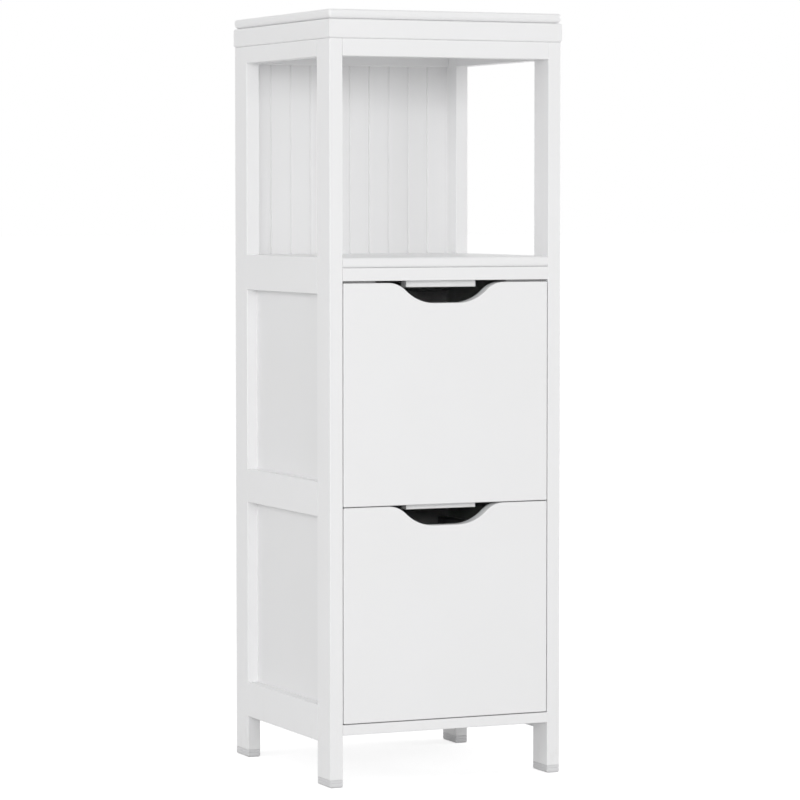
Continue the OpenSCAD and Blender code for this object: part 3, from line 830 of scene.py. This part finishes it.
@dataclass
class Drawer:
    """One drawer: a front with a crescent finger cut-out, and its box."""

    level: Level
    edge: float = 1.2 * MM
    corner: float = 1.6 * MM
    pull_width: float = 146.0 * MM
    pull_depth: float = 23.5 * MM
    pull_flat: float = 30.0 * MM
    pull_radius: float = 52.0 * MM
    curve_steps: int = 12

    def build(self, shop: Workshop) -> None:
        """Builds the front and dresses the box.

        Args:
            shop: Makes and dresses the pieces.
        """
        name = f"{self.level.value}_drawer"
        node = name + "_front"
        low, high = (np.array(corner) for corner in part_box(node))
        shape = slab(self.outline(low, high), eased(low[1], high[1], self.edge), Along.Y)
        shop.piece(node + "_shaped", shape, ACROSS, [node])
        # Painted shade: the boxes' dark grey foil stands in for the shade inside the drawer behind the
        # cut-out.
        for part in ("left_side", "right_side", "back", "bottom"):
            shop.dress(f"{name}_{part}", FOIL_PAINTED_SHADE)
        shop.dress(name + "_dowels", BIRCH)
        shop.dress(name + "_cam_bolts", STEEL)
        shop.dress(name + "_screws", STEEL)
        shop.dress(name + "_cam_locks", ZINC)

    def outline(self, low: np.ndarray, high: np.ndarray) -> FreeOutline:
        """The front's outline: a rectangle whose top edge dips in a crescent.

        From the flat stretch each side of the cut-out turns up on an arc of radius R and over on an
        arc of radius r, so that both arcs meet in one slope: run = (R + r) sin(turn) and
        depth = (R + r) (1 - cos(turn)), which gives R + r = (run * run + depth * depth) / (2 depth).

        Args:
            low: Lowest corner of the front.
            high: Highest corner of the front.

        Returns:
            The outline, with height first and X second.
        """
        run = (self.pull_width - self.pull_flat) / 2
        both = (run * run + self.pull_depth * self.pull_depth) / (2 * self.pull_depth)
        lip = both - self.pull_radius
        turn = math.degrees(math.asin(run / both))
        half_flat, half_pull = self.pull_flat / 2, self.pull_width / 2
        corner = self.corner
        left, right = low[0] + corner, high[0] - corner
        bottom, top = low[2] + corner, high[2] - corner
        lip_height = high[2] - lip
        dip_height = high[2] - self.pull_depth + self.pull_radius
        arcs = [
            (left, bottom, corner, 180, 270, 1),
            (right, bottom, corner, 270, 360, 1),
            (right, top, corner, 0, 90, 1),
            (half_pull, lip_height, lip, 90, 90 + turn, 1),
            (half_flat, dip_height, self.pull_radius, turn - 90, -90, -1),
            (-half_flat, dip_height, self.pull_radius, -90, -90 - turn, -1),
            (-half_pull, lip_height, lip, 90 - turn, 90, 1),
            (left, top, corner, 90, 180, 1),
        ]
        flat = arc_outline(arcs, self.curve_steps)
        return FreeOutline(flat.points[:, ::-1], flat.outward[:, ::-1])


@dataclass
class Fittings:
    """Runners, glides and the fittings inside the boards.

    bevel_curve holds the drawn-in lower edge of a glide, as inset and height in parts of glide_bevel.
    """

    glide_edge: float = 1.0 * MM
    glide_bevel: float = 1.5 * MM
    glide_rim: float = 0.2 * MM
    bevel_curve: tuple[tuple[float, float], ...] = ((1.0, 0.0), (0.35, 0.45), (0.0, 1.3))
    groove_height: float = 5.6 * MM
    groove_depth: float = 0.5 * MM

    def build(self, shop: Workshop) -> None:
        """Builds the glides and dresses the rest.

        Args:
            shop: Makes and dresses the pieces.
        """
        sides = (Side.LEFT, Side.RIGHT)
        posts = [post_name(side, end) for side in sides for end in (Side.FRONT, Side.BACK)]
        glides = joined([self.glide(post) for post in posts])
        shop.piece("foot_glides_moulded", glides, GLIDE, ["foot_glides"])
        for side in sides:
            for level in Level:
                shop.dress(f"{side.value}_{level.value}_runner", BIRCH)
        for node in ("frame_dowels", "cross_dowels"):
            shop.dress(node, BIRCH)
        for node in ("cam_bolts", "runner_screws", "top_screws"):
            shop.dress(node, STEEL)
        shop.dress("cam_locks", ZINC)

    def glide(self, post: str) -> Shape:
        """A pad under a post, with its lower edge drawn in and a shallow parting groove round it.

        Args:
            post: The post that stands on it.

        Returns:
            The pad's surface.
        """
        low, high = (np.array(corner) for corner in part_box(post))
        top, depth = low[2], self.groove_depth
        upper = [
            [0.0, self.groove_height - depth],
            [depth, self.groove_height],
            [0.0, self.groove_height + depth],
            [0.0, top - self.glide_rim],
            [self.glide_rim, top],
        ]
        run = np.concatenate([np.array(self.bevel_curve) * self.glide_bevel, np.array(upper)])
        outline = RoundedBox(tuple(low[:2]), tuple(high[:2]), self.glide_edge)
        return slab(outline, run, Along.Z)


# The studio

def turned_to(made: bpy.types.Object, direction: Vector) -> None:
    """Turns a lamp or a camera to look in a direction."""
    made.rotation_mode = "QUATERNION"
    made.rotation_quaternion = direction.to_track_quat("-Z", "Y")


@dataclass(frozen=True)
class Lamp:
    """A wide soft lamp that faces a point."""

    name: str
    place: Place
    power: float
    width: float
    height: float
    target: Place = (0.0, 0.0, 0.55)

    def hang(self) -> None:
        """Hangs the lamp."""
        data = bpy.data.lights.new(self.name, "AREA")
        data.shape = "RECTANGLE"
        data.size = self.width
        data.size_y = self.height
        data.energy = self.power
        made = bpy.data.objects.new(self.name, data)
        made.location = self.place
        turned_to(made, Vector(self.target) - Vector(self.place))
        bpy.context.scene.collection.objects.link(made)


@dataclass
class Studio:
    """A pale floor, four soft lamps, an even world and the camera of the photograph."""

    floor_half: float = 60.0
    floor_colour: Colour = (0.70, 0.70, 0.70)
    floor_glow: float = 0.66
    world_level: float = 0.52
    lamps: tuple[Lamp, ...] = (
        Lamp("left", (-3.0, -0.4, 1.7), 12.0, 1.6, 0.9),
        Lamp("left_front", (-4.1, -3.45, 1.2), 31.0, 2.4, 1.2),
        Lamp("front", (-1.6, -5.1, 1.4), 83.0, 4.2, 1.0),
        Lamp("right", (5.3, -0.95, 1.2), 98.0, 2.4, 1.2),
    )
    camera_place: Place = (-1.7434, -3.9145, 0.6726)
    yaw_deg: float = 24.085
    tilt_deg: float = 3.169
    lens: float = 161.92
    sensor: float = 36.0

    def build(self) -> None:
        """Builds the floor, the world, the lamps and the camera."""
        bpy.context.scene.view_settings.view_transform = "Standard"
        self.floor()
        self.world()
        for lamp in self.lamps:
            lamp.hang()
        self.camera()

    def floor(self) -> None:
        """A floor that looks white where nothing shades it and keeps the cabinet's soft shadow."""
        half = self.floor_half
        mesh = bpy.data.meshes.new("floor")
        corners = [(-half, -half, 0), (half, -half, 0), (half, half, 0), (-half, half, 0)]
        mesh.from_pydata(corners, [], [(0, 1, 2, 3)])
        material = bpy.data.materials.new("floor_white")
        material.use_nodes = True
        paper = Paper(material.node_tree)
        diffuse = paper.node("ShaderNodeBsdfDiffuse", {}, {"Color": (*self.floor_colour, 1.0)})
        glow = paper.node("ShaderNodeEmission", {}, {"Strength": paper.seen() * self.floor_glow})
        shader = paper.node("ShaderNodeAddShader", {}, {0: diffuse, 1: glow})
        paper.node("ShaderNodeOutputMaterial", {}, {"Surface": shader}, None)
        mesh.materials.append(material)
        made = bpy.data.objects.new("floor", mesh)
        bpy.context.scene.collection.objects.link(made)

    def world(self) -> None:
        """An even world that looks white and lights the cabinet at its own level."""
        world = bpy.data.worlds.new("studio")
        world.use_nodes = True
        bpy.context.scene.world = world
        paper = Paper(world.node_tree)
        seen = paper.seen()
        sockets = {"Color": (1.0, 1.0, 1.0, 1.0), "Strength": seen + (1 - seen) * self.world_level}
        shader = paper.node("ShaderNodeBackground", {}, sockets)
        paper.node("ShaderNodeOutputWorld", {}, {"Surface": shader}, None)

    def camera(self) -> None:
        """The camera, turned by its yaw from +Y towards +X and tilted down."""
        data = bpy.data.cameras.new("camera")
        data.sensor_width = self.sensor
        data.lens = self.lens
        data.clip_end = 2 * self.floor_half
        made = bpy.data.objects.new("camera", data)
        yaw, tilt = math.radians(self.yaw_deg), math.radians(self.tilt_deg)
        level = math.cos(tilt)
        made.location = self.camera_place
        turned_to(made, Vector((math.sin(yaw) * level, math.cos(yaw) * level, -math.sin(tilt))))
        bpy.context.scene.collection.objects.link(made)
        bpy.context.scene.camera = made


def main() -> None:
    """Builds the studio and the cabinet in order."""
    logging.basicConfig(level=logging.INFO, format="%(name)s: %(message)s")
    shop = Workshop()
    Studio().build()
    for side in (Side.LEFT, Side.RIGHT):
        SideFrame(side).build(shop)
    Top().build(shop)
    Carcass().build(shop)
    for level in Level:
        Drawer(level).build(shop)
    Fittings().build(shop)


if __name__ == "__main__":
    main()
